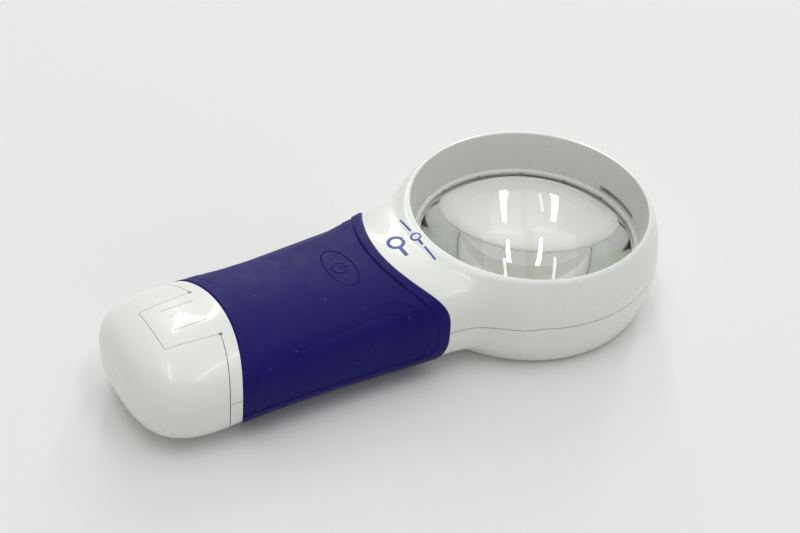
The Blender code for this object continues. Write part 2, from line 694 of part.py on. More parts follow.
def make_light():
    centre_z = 7.6
    window = chamfered_box("window", (-25.3, -6.5, 4.75), (-24.5, 6.5, 10.45), 0.15)
    finish_part(window, "light_window", "lens_acrylic", (-24.9, 0, centre_z))
    reflector = box("reflector", (-30.6, -5.0, 4.8), (-25.7, 5.0, 10.4))
    cut(reflector, rod("reflector_cone", (-30.9, 0, centre_z), (-25.4, 0, centre_z), 1.75, 24, 2.5))
    finish_part(reflector, "light_reflector", "white_plastic", (-28, 0, centre_z))
    lamp = rod("lamp", (-31.7, 0, centre_z), (-29.2, 0, centre_z), 1.45, 20, 1.4)
    dome = lamp.modifiers.new("round_tip", "BEVEL")
    dome.width = 0.45 * MM
    dome.segments = 2
    dome.limit_method = "ANGLE"
    bake(lamp)
    finish_part(lamp, "led_lamp", "led_body", (-31.7, 0, centre_z))
    carrier = box("carrier", (-32.8, -3.6, 4.8), (-32.0, 3.6, 10.4))
    finish_part(carrier, "led_board", "board_green", (-32.4, 0, centre_z))
    for name, material, y in (("lead_red", "red_wire", 2.4), ("lead_black", "black_wire", -2.4)):
        route = ((-37.0, y, 16.7), (-36.6, y, 14.0), (-35.4, y, 10.8), (-33.3, y, 8.6))
        make_lead(name, material, route)


def make_screws():
    for index, side in enumerate((-1, 1), start=1):
        y = side * SCREW_Y
        screw = rod("screw", (SCREW_X, y, 4.5), (SCREW_X, y, 5.6), 2.1, 18, 1.9)
        join(screw, rod("shank", (SCREW_X, y, 5.4), (SCREW_X, y, 16.6), 1.05, 14))
        cut(screw, rod("drive", (SCREW_X, y, 4.0), (SCREW_X, y, 5.1), 0.9, 6))
        finish_part(screw, "housing_screw_%d" % index, "steel", (SCREW_X, y, 4.5))


clear_scene()
PARTS = make_collection(OBJECT_NAME)
CUTTERS = make_collection("cutters")
MATERIALS = {name: make_material(name) for name in COLOURS}
make_housings()
make_sleeve_and_button()
make_lens()
battery_cap, latch_tongue = make_cap_and_latch()
cap_pieces = make_battery_parts()
make_electronics()
make_light()
make_screws()
add_axis("cap_axis", (REAR_PLATE_X, 0, CELL_Z), [battery_cap] + cap_pieces)
add_axis("latch_axis", (TONGUE_ROOT_X, 0, TONGUE_HINGE_Z), [latch_tongue])
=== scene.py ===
"""Finished look of the illuminated hand magnifier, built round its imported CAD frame.

Shapes are worked out in millimetres in a design frame whose x is measured from the lens axis,
positive away from the handle; LENS_AXIS places that axis in the frame's own coordinates.
"""

import math

import bmesh
import bpy
import numpy as np
from mathutils import Matrix, Vector


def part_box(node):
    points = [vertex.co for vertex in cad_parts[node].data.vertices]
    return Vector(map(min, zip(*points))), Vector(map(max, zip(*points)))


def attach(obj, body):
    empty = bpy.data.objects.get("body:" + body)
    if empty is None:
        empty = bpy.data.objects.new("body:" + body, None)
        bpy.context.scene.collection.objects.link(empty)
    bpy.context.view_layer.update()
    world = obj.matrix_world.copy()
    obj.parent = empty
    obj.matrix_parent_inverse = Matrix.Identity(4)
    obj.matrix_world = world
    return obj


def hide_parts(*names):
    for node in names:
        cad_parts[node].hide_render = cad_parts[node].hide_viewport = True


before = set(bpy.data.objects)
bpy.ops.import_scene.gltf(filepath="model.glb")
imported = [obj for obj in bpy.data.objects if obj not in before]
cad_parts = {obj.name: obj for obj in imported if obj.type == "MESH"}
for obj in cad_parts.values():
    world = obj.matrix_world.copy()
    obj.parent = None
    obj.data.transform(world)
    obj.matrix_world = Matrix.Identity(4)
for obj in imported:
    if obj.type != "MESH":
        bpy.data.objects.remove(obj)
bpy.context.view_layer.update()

MM = 0.001
lens_low, lens_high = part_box("lens")
LENS_AXIS = ((lens_low.x + lens_high.x) / 2.0, 0.0, 0.0)

# Outer form, as the CAD model's own driving dimensions
HEAD_RADIUS, HEAD_HEIGHT, PARTING_Z = 30.42, 24.0, 12.44
HANDLE_END_X, STRAIGHT_END_X, END_ROUNDNESS = -102.2, -84.4, 3.0
NECK_START_X, NECK_END_X, NECK_FILLET_RADIUS = -31.0, -17.0, 25.2
BASE_RADIUS, LIP_TAPER, HANDLE_CLOSES_X = 27.5, 2.4, -15.0
# x, half width, top z, bottom z, upper squareness, lower squareness
STATIONS = np.array((
    (-86.0, 18.9, 22.4, 0.0, 2.3, 3.0),
    (-77.0, 18.8, 22.8, 0.0, 2.1, 2.7),
    (-57.0, 19.0, 22.5, 0.0, 2.2, 2.6),
    (-38.0, 19.5, 22.8, 0.2, 2.9, 2.9),
    (-30.0, 19.8, 23.5, 0.8, 3.7, 3.1),
    (-17.0, 20.6, 23.8, 1.0, 4.2, 3.1)))
FRONT_EDGE, REAR_EDGE, CAP_EDGE = (-6.7, 32.0), (-125.8, 48.0), (-128.7, 48.0)
SLEEVE_THICKNESS, CORE_INSET, CAVITY_INSET = 1.2, 1.25, 2.8
SPIGOT_INSET, SPIGOT_END_X, CAP_WALL = 1.9, -89.0, 1.5
VOXEL = 0.5


def at(x, y, z):
    """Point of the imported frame, in metres, of a point in the design frame."""
    return Vector((x * MM + LENS_AXIS[0], y * MM, z * MM))


# ---------------------------------------------------------------- outer form as a formula

def station_values(x):
    """Columns of STATIONS at every x: a smooth curve through them, level at both ends."""
    xs = STATIONS[:, 0]
    slopes = np.zeros_like(STATIONS)
    slopes[1:-1] = (STATIONS[2:] - STATIONS[:-2]) / (xs[2:] - xs[:-2])[:, None]
    x = np.clip(x, xs[0], xs[-1])
    i = np.clip(np.searchsorted(xs, x, side="right") - 1, 0, len(xs) - 2)
    span = xs[i + 1] - xs[i]
    t = ((x - xs[i]) / span)[..., None]
    a, b = STATIONS[i], STATIONS[i + 1]
    m, n = slopes[i] * span[..., None], slopes[i + 1] * span[..., None]
    values = ((2 * t**3 - 3 * t**2 + 1) * a + (t**3 - 2 * t**2 + t) * m
              + (3 * t**2 - 2 * t**3) * b + (t**3 - t**2) * n)
    return [values[..., k] for k in range(1, 6)]


def handle_section(x, inset=0.0):
    """Half width, height above and depth below the parting plane, and both squarenesses at x."""
    x = np.asarray(x, float)
    half, top, bottom, square_up, square_down = station_values(x)
    reach = np.clip(x, NECK_START_X, NECK_END_X) - NECK_START_X
    half = half + NECK_FILLET_RADIUS - np.sqrt(NECK_FILLET_RADIUS**2 - reach**2)
    half, up, down = half - inset, top - PARTING_Z - inset, PARTING_Z - bottom - inset
    t = np.clip((STRAIGHT_END_X - x) / (STRAIGHT_END_X - HANDLE_END_X - inset), 0.0, 0.9995)
    shrink = (1.0 - t**END_ROUNDNESS) ** (1.0 / END_ROUNDNESS)
    return half * shrink, up * shrink, down * shrink, square_up, square_down


def head_outer_radius(z):
    """Radius of the ring head's side at height z, drawn in towards the lip and the base."""
    up = np.clip((z - PARTING_Z) / (HEAD_HEIGHT - PARTING_Z), 0.0, 1.3)
    down = np.clip((PARTING_Z - z) / PARTING_Z, 0.0, 1.2)
    return HEAD_RADIUS - LIP_TAPER * up**2.2 - (HEAD_RADIUS - BASE_RADIUS) * down**2


def smooth_max(a, b, width):
    """The larger of two values, blended where they differ by less than width."""
    h = np.clip(0.5 + 0.5 * (a - b) / width, 0.0, 1.0)
    return b + (a - b) * h + width * h * (1.0 - h)


def smooth_min(a, b, width):
    return -smooth_max(-a, -b, width)


def handle_distance(p):
    """Roughly the distance outside the handle and neck, in millimetres."""
    x, y, z = p[:, 0], p[:, 1], p[:, 2]
    half, up, down, square_up, square_down = handle_section(np.minimum(x, NECK_END_X))
    above = z >= PARTING_Z
    height = np.where(above, up, down)
    square = np.where(above, square_up, square_down)
    sideways = np.abs(y) / half
    upright = np.abs(z - PARTING_Z) / height
    radius = (sideways**square + upright**square + 1e-9) ** (1.0 / square)
    body = (radius - 1.0) * np.minimum(half, height)
    return smooth_max(body, x - HANDLE_CLOSES_X, 1.0)


def head_distance(p):
    """Roughly the distance outside the ring head, in millimetres."""
    x, y, z = p[:, 0], p[:, 1], p[:, 2]
    side = np.hypot(x, y) - head_outer_radius(z)
    return smooth_max(smooth_max(side, z - HEAD_HEIGHT, 1.3), -z, 1.8)


def outer_distance(p):
    """Zero on the magnifier's outer surface: handle and head joined by a soft fillet."""
    joined = smooth_min(handle_distance(p), head_distance(p), 3.0)
    return smooth_max(smooth_max(joined, p[:, 2] - HEAD_HEIGHT, 0.3), -p[:, 2], 0.2)


def settle_on_form(points, rounds=6):
    """Move points along the gradient onto the outer surface."""
    step = 0.02
    for _ in range(rounds):
        value = outer_distance(points)
        gradient = np.empty_like(points)
        for axis in range(3):
            shift = np.zeros(3)
            shift[axis] = step
            rise = outer_distance(points + shift) - outer_distance(points - shift)
            gradient[:, axis] = rise / (2 * step)
        length = np.maximum((gradient**2).sum(1), 0.05)
        move = np.clip(value / length, -0.6, 0.6)
        points = points - move[:, None] * gradient
    return points


# ---------------------------------------------------------------- mesh helpers

def add_object(name, mesh):
    obj = bpy.data.objects.new(name, mesh)
    bpy.context.scene.collection.objects.link(obj)
    return obj


def object_from_bmesh(name, bm):
    bmesh.ops.recalc_face_normals(bm, faces=bm.faces)
    mesh = bpy.data.meshes.new(name)
    bm.to_mesh(mesh)
    bm.free()
    return add_object(name, mesh)


def bake(obj):
    depsgraph = bpy.context.evaluated_depsgraph_get()
    mesh = bpy.data.meshes.new_from_object(obj.evaluated_get(depsgraph))
    obj.modifiers.clear()
    old, obj.data = obj.data, mesh
    bpy.data.meshes.remove(old)
    return obj


def boolean(obj, operation, *tools):
    """Cut, join or keep with closed tool objects, which are used up."""
    for tool in tools:
        modifier = obj.modifiers.new(operation.lower(), "BOOLEAN")
        modifier.operation = operation
        modifier.solver = "MANIFOLD"
        modifier.object = tool
        bake(obj)
        bpy.data.objects.remove(tool)
    return obj


def cut(obj, *tools):
    return boolean(obj, "DIFFERENCE", *tools)


def join(obj, *tools):
    return boolean(obj, "UNION", *tools)


def keep(obj, *tools):
    return boolean(obj, "INTERSECT", *tools)


def copy_of(obj):
    return add_object(obj.name + "_copy", obj.data.copy())


def box(name, low, high):
    low, high = at(*low), at(*high)
    bm = bmesh.new()
    bmesh.ops.create_cube(bm, size=1.0, matrix=Matrix.LocRotScale((low + high) / 2.0, None, high - low))
    return object_from_bmesh(name, bm)


def rod(name, start, end, radius, segments=32, stretch=None):
    start, end = at(*start), at(*end)
    along = end - start
    place = Matrix.Translation((start + end) / 2.0) @ along.to_track_quat("Z", "Y").to_matrix().to_4x4()
    if stretch:
        place = place @ Matrix.Diagonal((stretch[0], stretch[1], 1.0, 1.0))
    bm = bmesh.new()
    bmesh.ops.create_cone(bm, cap_ends=True, segments=segments, radius1=radius * MM,
                          radius2=radius * MM, depth=along.length, matrix=place)
    return object_from_bmesh(name, bm)


def loft(name, rings):
    """Closed skin over successive rings of equally many points."""
    bm = bmesh.new()
    rows = [[bm.verts.new(point) for point in ring] for ring in rings]
    count = len(rows[0])
    for near, far in zip(rows, rows[1:]):
        for k in range(count):
            bm.faces.new((near[k], near[(k + 1) % count], far[(k + 1) % count], far[k]))
    bm.faces.new(rows[0])
    bm.faces.new(rows[-1])
    return object_from_bmesh(name, bm)


def turned(name, profile, steps=192):
    """Solid or ring of revolution about the lens axis from a closed or axis-to-axis profile."""
    on_axis = profile[0][0] == 0.0 and profile[-1][0] == 0.0
    bm = bmesh.new()
    rows = []
    for radius, z in profile:
        if radius == 0.0:
            rows.append([bm.verts.new(at(0.0, 0.0, z))] * steps)
            continue
        angles = [2.0 * math.pi * k / steps for k in range(steps)]
        rows.append([bm.verts.new(at(radius * math.cos(a), radius * math.sin(a), z)) for a in angles])
    pairs = list(zip(rows, rows[1:]))
    if not on_axis:
        pairs.append((rows[-1], rows[0]))
    for upper, lower in pairs:
        for k in range(steps):
            corners = (upper[k], upper[(k + 1) % steps], lower[(k + 1) % steps], lower[k])
            bm.faces.new(list(dict.fromkeys(corners)))
    return object_from_bmesh(name, bm)


def section_ring(x, inset, count):
    half, up, down, square_up, square_down = (float(v) for v in handle_section(x, inset))
    ring = []
    for k in range(count):
        angle = 2.0 * math.pi * k / count
        c, s = math.cos(angle), math.sin(angle)
        power, height = (2.0 / square_up, up) if s >= 0.0 else (2.0 / square_down, down)
        ring.append(at(x, math.copysign(half * abs(c)**power, c),
                       PARTING_Z + math.copysign(height * abs(s)**power, s)))
    return ring


def handle_solid(name, inset, start, end, count=96, spacing=1.5):
    """Loft of the handle's form, pulled in by inset, between two x positions."""
    stops = list(np.linspace(start, end, max(2, int((end - start) / spacing) + 1)))
    rounded = [STRAIGHT_END_X + (HANDLE_END_X + inset - STRAIGHT_END_X) * math.sin(math.radians(a))
               for a in range(88, 20, -4)]
    stops = sorted(set([x for x in stops if x > STRAIGHT_END_X or x == start]
                       + [x for x in rounded if start < x < end]))
    return loft(name, [section_ring(x, inset, count) for x in stops])


def edge_cylinder(name, edge, change):
    """Upright cylinder whose side is one of the curved edges across the handle."""
    centre_x, radius = edge
    return rod(name, (centre_x, 0.0, -5.0), (centre_x, 0.0, 30.0), radius + change, segments=512)


def outer_form():
    """The whole outer surface as an even skin of small faces lying exactly on the formula."""
    rough = handle_solid("outer_form", 0.0, HANDLE_END_X + 0.01, NECK_END_X - 2.0, count=64)
    zs = (HEAD_HEIGHT, HEAD_HEIGHT, 23.0, 21.0, 18.0, 15.0, PARTING_Z, 9.0, 6.0, 3.0, 1.0, 0.0, 0.0)
    radii = [0.0, 27.7] + [float(head_outer_radius(z)) for z in zs[2:-2]] + [26.6, 0.0]
    join(rough, turned("head_form", list(zip(radii, zs)), steps=96))
    remesh = rough.modifiers.new("even", "REMESH")
    remesh.mode = "VOXEL"
    remesh.voxel_size = VOXEL * MM
    bake(rough)
    mesh = rough.data
    flat = np.empty(len(mesh.vertices) * 3)
    mesh.vertices.foreach_get("co", flat)
    points = flat.reshape(-1, 3) / MM - np.array(LENS_AXIS) / MM
    points = settle_on_form(points)
    mesh.vertices.foreach_set("co", ((points + np.array(LENS_AXIS) / MM) * MM).ravel())
    mesh.update()
    return rough


# ---------------------------------------------------------------- camera, floor and light

def make_camera():
    """Camera 39 degrees above the table, beyond the near side of the handle's end."""
    eye = Vector((-224.85, -302.29, 308.90)) * MM + Vector(LENS_AXIS)
    forward = Vector((0.41463, 0.65498, -0.63173)).normalized()
    roll = math.radians(3.94)
    camera = bpy.data.cameras.new("camera")
    camera.sensor_width = 36.0
    camera.lens = 93.6675
    camera.clip_start, camera.clip_end = 0.01, 20.0
    obj = bpy.data.objects.new("camera", camera)
    bpy.context.scene.collection.objects.link(obj)
    turn = forward.to_track_quat("-Z", "Y").to_matrix().to_4x4()
    obj.matrix_world = Matrix.Translation(eye) @ turn @ Matrix.Rotation(roll, 4, "Z")
    bpy.context.scene.camera = obj


# ---------------------------------------------------------------- materials

def new_material(name):
    material = bpy.data.materials.new(name)
    material.use_nodes = True
    nodes = material.node_tree.nodes
    return material, nodes, material.node_tree.links, nodes["Principled BSDF"]


def noise(nodes, links, scale, detail=3.0, roughness=0.5):
    """Noise texture in metres of the object's own space; scale is features per metre."""
    coordinates = nodes.new("ShaderNodeTexCoord")
    texture = nodes.new("ShaderNodeTexNoise")
    texture.inputs["Scale"].default_value = scale
    texture.inputs["Detail"].default_value = detail
    texture.inputs["Roughness"].default_value = roughness
    links.new(coordinates.outputs["Object"], texture.inputs["Vector"])
    return texture.outputs["Fac"]


def ramp(nodes, links, source, stops):
    """Colour ramp of (position, rgb) stops driven by a value."""
    node = nodes.new("ShaderNodeValToRGB")
    elements = node.color_ramp.elements
    while len(elements) < len(stops):
        elements.new(0.5)
    for element, (position, colour) in zip(elements, stops):
        element.position = position
        element.color = (*colour, 1.0)
    links.new(source, node.inputs["Fac"])
    return node.outputs["Color"]


def remap(nodes, links, source, low, high, to_low, to_high):
    node = nodes.new("ShaderNodeMapRange")
    node.inputs["From Min"].default_value = low
    node.inputs["From Max"].default_value = high
    node.inputs["To Min"].default_value = to_low
    node.inputs["To Max"].default_value = to_high
    links.new(source, node.inputs["Value"])
    return node.outputs["Result"]


def bump(nodes, links, height, strength, distance):
    node = nodes.new("ShaderNodeBump")
    node.inputs["Strength"].default_value = strength
    node.inputs["Distance"].default_value = distance
    links.new(height, node.inputs["Height"])
    return node.outputs["Normal"]


def plastic_material(name, base, shade, roughness, grain_scale, grain_depth, coat=0.0):
    """Moulded plastic: faint flow variation in colour and gloss over a fine moulded grain."""
    material, nodes, links, shader = new_material(name)
    clouds = noise(nodes, links, 45.0, 2.0)
    links.new(ramp(nodes, links, clouds, ((0.3, shade), (0.7, base))), shader.inputs["Base Color"])
    scuffs = noise(nodes, links, 420.0, 5.0, 0.65)
    links.new(remap(nodes, links, scuffs, 0.35, 0.75, roughness * 0.85, roughness * 1.25),
              shader.inputs["Roughness"])
    grain = noise(nodes, links, grain_scale, 2.0)
    links.new(bump(nodes, links, grain, 0.15, grain_depth), shader.inputs["Normal"])
    shader.inputs["Coat Weight"].default_value = coat
    shader.inputs["Coat Roughness"].default_value = 0.06
    return material


def rubber_material(name):
    """Matt navy elastomer with a fine pebble, a slight bloom and a few specks of lint."""
    material, nodes, links, shader = new_material(name)
    clouds = noise(nodes, links, 60.0, 3.0)
    blue = ramp(nodes, links, clouds, ((0.3, (0.0080, 0.0045, 0.112)), (0.7, (0.0105, 0.0065, 0.130))))
    specks = noise(nodes, links, 900.0, 1.0)
    mask = remap(nodes, links, specks, 0.76, 0.80, 0.0, 0.5)
    mix = nodes.new("ShaderNodeMix")
    mix.data_type = "RGBA"
    links.new(mask, mix.inputs["Factor"])
    links.new(blue, mix.inputs["A"])
    mix.inputs["B"].default_value = (0.10, 0.10, 0.22, 1.0)
    links.new(mix.outputs["Result"], shader.inputs["Base Color"])
    patches = noise(nodes, links, 250.0, 4.0, 0.6)
    links.new(remap(nodes, links, patches, 0.3, 0.7, 0.44, 0.56), shader.inputs["Roughness"])
    pebble = noise(nodes, links, 3800.0, 2.0)
    links.new(bump(nodes, links, pebble, 0.5, 0.00006), shader.inputs["Normal"])
    shader.inputs["Specular IOR Level"].default_value = 0.12
    return material


def clear_material(name, tint, roughness):
    """Clear acrylic with the faintest tint and polishing haze."""
    material, nodes, links, shader = new_material(name)
    shader.inputs["Base Color"].default_value = (*tint, 1.0)
    haze = noise(nodes, links, 90.0, 2.0)
    haze_roughness = remap(nodes, links, haze, 0.45, 0.8, roughness, roughness + 0.006)
    links.new(haze_roughness, shader.inputs["Roughness"])
    shader.inputs["IOR"].default_value = 1.49
    shader.inputs["Transmission Weight"].default_value = 1.0
    return material


def metal_material(name, colour, roughness, grain=1500.0):
    """Plated metal with fine drawn marks and dulled patches."""
    material, nodes, links, shader = new_material(name)
    shader.inputs["Metallic"].default_value = 1.0
    marks = noise(nodes, links, grain, 6.0, 0.7)
    dull = tuple(0.75 * c for c in colour)
    links.new(ramp(nodes, links, marks, ((0.3, dull), (0.7, colour))), shader.inputs["Base Color"])
    worn_roughness = remap(nodes, links, marks, 0.3, 0.7, roughness * 0.8, roughness * 1.3)
    links.new(worn_roughness, shader.inputs["Roughness"])
    links.new(bump(nodes, links, marks, 0.2, 0.00002), shader.inputs["Normal"])
    return material


WHITE = plastic_material("white_gloss", (0.80, 0.82, 0.79), (0.785, 0.81, 0.775), 0.32,
                         2500.0, 0.000002, coat=0.25)
RUBBER = rubber_material("navy_rubber")
ACRYLIC = clear_material("lens_acrylic", (0.935, 0.95, 0.915), 0.0)
WINDOW = clear_material("window_acrylic", (0.95, 0.97, 0.95), 0.12)
BLACK = plastic_material("black_satin", (0.022, 0.022, 0.024), (0.016, 0.016, 0.018), 0.42,
                         1800.0, 0.00002)
BOARD = plastic_material("board_green", (0.02, 0.17, 0.07), (0.015, 0.12, 0.05), 0.35, 900.0, 0.00002)
STEEL = metal_material("nickel_plate", (0.64, 0.62, 0.58), 0.28)
COPPER = metal_material("winding", (0.72, 0.36, 0.18), 0.35, 3000.0)
LABEL = plastic_material("cell_sleeve", (0.06, 0.065, 0.075), (0.045, 0.05, 0.06), 0.3, 600.0, 0.00002)
PHOSPHOR = plastic_material("led_body", (0.90, 0.72, 0.20), (0.80, 0.60, 0.14), 0.25,
                            1500.0, 0.00001, coat=0.6)
RED_LEAD = plastic_material("red_lead", (0.55, 0.03, 0.02), (0.45, 0.02, 0.015), 0.4, 1500.0, 0.00002)
BLACK_LEAD = plastic_material("black_lead", (0.02, 0.02, 0.02), (0.015, 0.015, 0.015), 0.4,
                              1500.0, 0.00002)
PRINT = plastic_material("blue_ink", (0.02, 0.06, 0.36), (0.015, 0.05, 0.32), 0.35, 1500.0, 0.000004)

CAD_MATERIALS = {
    "light_reflector": WHITE, "light_window": WINDOW,
    "button_key": BLACK, "switch_stem": BLACK, "switch_body": BLACK, "driver_chip": BLACK,
    "limiting_resistor": BLACK, "battery_cradle": BLACK, "circuit_board": BOARD, "led_board": BOARD,
    "front_contact_single": STEEL, "front_contact_link": STEEL, "cap_contact_link": STEEL,
    "cap_contact_single": STEEL, "negative_strip": STEEL, "cap_spring_1": STEEL, "cap_spring_3": STEEL,
    "front_spring_2": STEEL, "housing_screw_1": STEEL, "housing_screw_2": STEEL, "capacitor": STEEL,
    "cell_1": LABEL, "cell_2": LABEL, "cell_3": LABEL, "led_lamp": PHOSPHOR, "inductor": COPPER,
    "lead_red": RED_LEAD, "lead_black": BLACK_LEAD,
}


def finish_piece(obj, name, material, body, slot, *nodes, sharp=32.0):
    """Name, shade and hand over a finished piece, which stands in for the CAD nodes named."""
    obj.name = name
    obj.data.materials.clear()
    obj.data.materials.append(material)
    obj.data.shade_smooth()
    obj.data.set_sharp_from_angle(angle=math.radians(sharp))
    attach(obj, body)
    if nodes:
        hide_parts(*nodes)


# ---------------------------------------------------------------- housings, cap and tongue

WELL_FLOOR_RADIUS, WELL_FLOOR_Z, POCKET_RADIUS, POCKET_FLOOR_Z = 25.64, 14.5, 26.9, 12.0
LIP_RADIUS, LIP_ROUNDING, APERTURE_RADIUS = 27.57, 0.55, 24.2
PARTING_GAP, CAP_GAP, TONGUE_GAP = 0.22, 0.16, 0.12
HOUSING_CAP_SIDE, CAP_HOUSING_SIDE = (CAP_EDGE, 0.5 * CAP_GAP), (CAP_EDGE, -0.5 * CAP_GAP)
# Cutters that leave through the top end at this height, clear of the object
ABOVE_Z = 26.0
TONGUE_TIP_X, TONGUE_ROOT_X, TONGUE_TIP_HALF, TONGUE_ROOT_HALF = -93.5, -80.7, 6.5, 7.4
CORNER_HOLE_X, CORNER_HOLE_Y, CORNER_HOLE_RADIUS = -81.25, 7.5, 0.42
BUTTON_X, BUTTON_HALF = -48.9, (3.15, 6.5)
RIB_LINE_YS, RIB_LINE_HALF_WIDTH = (4.3, -2.5), 0.07


def well_cutter():
    """Bore of the ring head with a rounded lip, lens pocket and flared aperture."""
    lip = [(LIP_RADIUS - LIP_ROUNDING * math.cos(a), HEAD_HEIGHT - LIP_ROUNDING * (1 - math.sin(a)))
           for a in np.radians(np.linspace(0.0, 90.0, 6))][::-1]
    lens_seat = [(WELL_FLOOR_RADIUS, WELL_FLOOR_Z), (POCKET_RADIUS, WELL_FLOOR_Z),
                 (POCKET_RADIUS, POCKET_FLOOR_Z), (APERTURE_RADIUS, POCKET_FLOOR_Z)]
    flare = [(APERTURE_RADIUS, 1.2), (APERTURE_RADIUS + 0.15, 0.5), (APERTURE_RADIUS + 0.6, 0.0),
             (APERTURE_RADIUS + 0.6, -2.0), (0.0, -2.0)]
    profile = [(0.0, ABOVE_Z), (LIP_RADIUS, ABOVE_Z)] + lip + lens_seat + flare
    return turned("well_cutter", profile)


def tongue_prism(change, low_z):
    """Upright tapered prism of the latch tongue's outline with rounded tip corners."""
    root_x = TONGUE_ROOT_X + 2.7
    tip_x, tip_half = TONGUE_TIP_X - change, TONGUE_TIP_HALF + change
    slope = (TONGUE_ROOT_HALF - TONGUE_TIP_HALF) / (TONGUE_ROOT_X - TONGUE_TIP_X)
    root_half = tip_half + slope * (root_x - tip_x)
    corner = 0.7 + change
    arc = [(tip_x + corner - corner * math.cos(a), tip_half - corner + corner * math.sin(a))
           for a in np.radians(np.linspace(0.0, 90.0, 7))]
    side = arc + [(root_x, root_half)]
    outline = [(x, -y) for x, y in side] + [(x, y) for x, y in reversed(side)]
    return loft("tongue_prism", [[at(x, y, z) for x, y in outline] for z in (low_z, ABOVE_Z)])


def corner_holes(low_z):
    """Two small relief holes where the tongue's sides meet the rear band."""
    left, right = (
        rod("hole", (CORNER_HOLE_X, y, low_z), (CORNER_HOLE_X, y, ABOVE_Z), CORNER_HOLE_RADIUS)
        for y in (CORNER_HOLE_Y, -CORNER_HOLE_Y))
    return join(left, right)


def button_cutter(name, gap, segments):
    """Upright oval cutter for the push button's opening."""
    stretch = BUTTON_HALF[0] + gap, BUTTON_HALF[1] + gap
    return rod(name, (BUTTON_X, 0, 15), (BUTTON_X, 0, ABOVE_Z), 1.0, segments, stretch)


def make_housings(form):
    """Both halves, from one body with the sleeve's seat, the spigot, the hollows and the openings."""
    housing = cut(copy_of(form), edge_cylinder("cap_side", *HOUSING_CAP_SIDE))
    seat = cut(handle_solid("seat", -0.6, -84.5, -30.5), edge_cylinder("seat_rear", REAR_EDGE, 0.0),
               edge_cylinder("seat_front", FRONT_EDGE, 0.0))
    cut(housing, seat)
    core = handle_solid("core", CORE_INSET, -83.0, -29.0)
    join(housing, cut(core, edge_cylinder("cap_side", *HOUSING_CAP_SIDE)))
    join(housing, handle_solid("spigot", SPIGOT_INSET, SPIGOT_END_X, -76.0))
    cut(housing, handle_solid("cavity", CAVITY_INSET, SPIGOT_END_X - 2.0, -29.3), well_cutter())
    cut(housing, button_cutter("button_hole", 0.3, 64))
    cut(housing, box("light_port", (-31.0, -6.9, 4.4), (-21.0, 6.9, 10.8)),
        box("clip_slot", (24.0, -6.7, 14.1), (28.6, 6.7, 16.1)), corner_holes(15.0))
    top, bottom = housing, copy_of(housing)
    cut(top, box("below", (-120, -40, -5), (40, 40, PARTING_Z + 0.5 * PARTING_GAP)),
        box("latch_notch", (-93, -9.6, 16.5), (-81.7, 9.6, ABOVE_Z)))
    cut(bottom, box("above", (-120, -40, PARTING_Z - 0.5 * PARTING_GAP), (40, 40, 30)))
    finish_piece(top, "top_shell", WHITE, "housing", "white_plastic", "top_housing")
    finish_piece(bottom, "bottom_shell", WHITE, "housing", "white_plastic", "bottom_housing")


def make_cap(form):
    """Hollow battery cap with its contact block, and the slot the latch tongue lies in."""
    cap = keep(copy_of(form), edge_cylinder("cap_inside", *CAP_HOUSING_SIDE))
    cut(cap, handle_solid("cap_hollow", CAP_WALL, HANDLE_END_X + CAP_WALL + 0.02, -77.0))
    join(cap, box("contact_block", (-101.0, -8.4, 8.5), (-97.5, 8.4, 15.0)))
    join(cap, box("latch_bay", (-95.2, -9.2, 17.4), (-82.8, 9.2, 20.6)))
    cut(cap, tongue_prism(TONGUE_GAP, 18.4), corner_holes(18.6))
    finish_piece(cap, "end_cap", WHITE, "cap", "white_plastic", "battery_cap")


def make_tongue(form):
    """Latch tongue with its catch underneath and two scored lines on top."""
    tongue = keep(form, edge_cylinder("tongue_root", *HOUSING_CAP_SIDE), tongue_prism(0.0, 15.0))
    cut(tongue, handle_solid("tongue_underside", CAP_WALL, -98.0, -76.0), corner_holes(15.0))
    join(tongue, box("catch", (-91.6, -3.0, 19.9), (-90.4, 3.0, 21.4)))
    for y in RIB_LINE_YS:
        low, high = y - RIB_LINE_HALF_WIDTH, y + RIB_LINE_HALF_WIDTH
        cut(tongue, box("rib_line", (-89.6, low, 21.7), (-82.0, high, ABOVE_Z)))
    finish_piece(tongue, "latch_flap", WHITE, "latch", "white_plastic", "latch_tongue")


skin_form = outer_form()
make_housings(skin_form)
make_cap(skin_form)
make_tongue(skin_form)


# ---------------------------------------------------------------- sleeve and button

def arc_table(count, samples=6400):
    """Points round the section at many x positions, evenly spaced by length, as y and z tables."""
    xs = np.linspace(-88.0, -26.0, 125)
    half, up, down, square_up, square_down = (v[:, None] for v in handle_section(xs))
    angle = np.linspace(0.0, 2.0 * np.pi, samples + 1)[None, :]
    c, s = np.cos(angle), np.sin(angle)
    power = np.where(s >= 0.0, 2.0 / square_up, 2.0 / square_down)
    y = half * np.sign(c) * np.abs(c)**power
    z = np.where(s >= 0.0, up, down) * np.sign(s) * np.abs(s)**power
    ys, zs = np.empty((len(xs), count)), np.empty((len(xs), count))
    for row in range(len(xs)):
        run = np.concatenate(([0.0], np.cumsum(np.hypot(np.diff(y[row]), np.diff(z[row])))))
        stops = np.linspace(0.0, run[-1], count, endpoint=False)
        ys[row], zs[row] = np.interp(stops, run, y[row]), np.interp(stops, run, z[row])
    return xs, ys, zs + PARTING_Z


def read_table(table, x, column):
    """y and z of the table's columns at the given x positions."""
    xs, ys, zs = table
    place = np.clip((x - xs[0]) / (xs[1] - xs[0]), 0.0, len(xs) - 1.001)
    i = place.astype(int)
    t = place - i
    return (ys[i, column] * (1 - t) + ys[i + 1, column] * t,
            zs[i, column] * (1 - t) + zs[i + 1, column] * t)


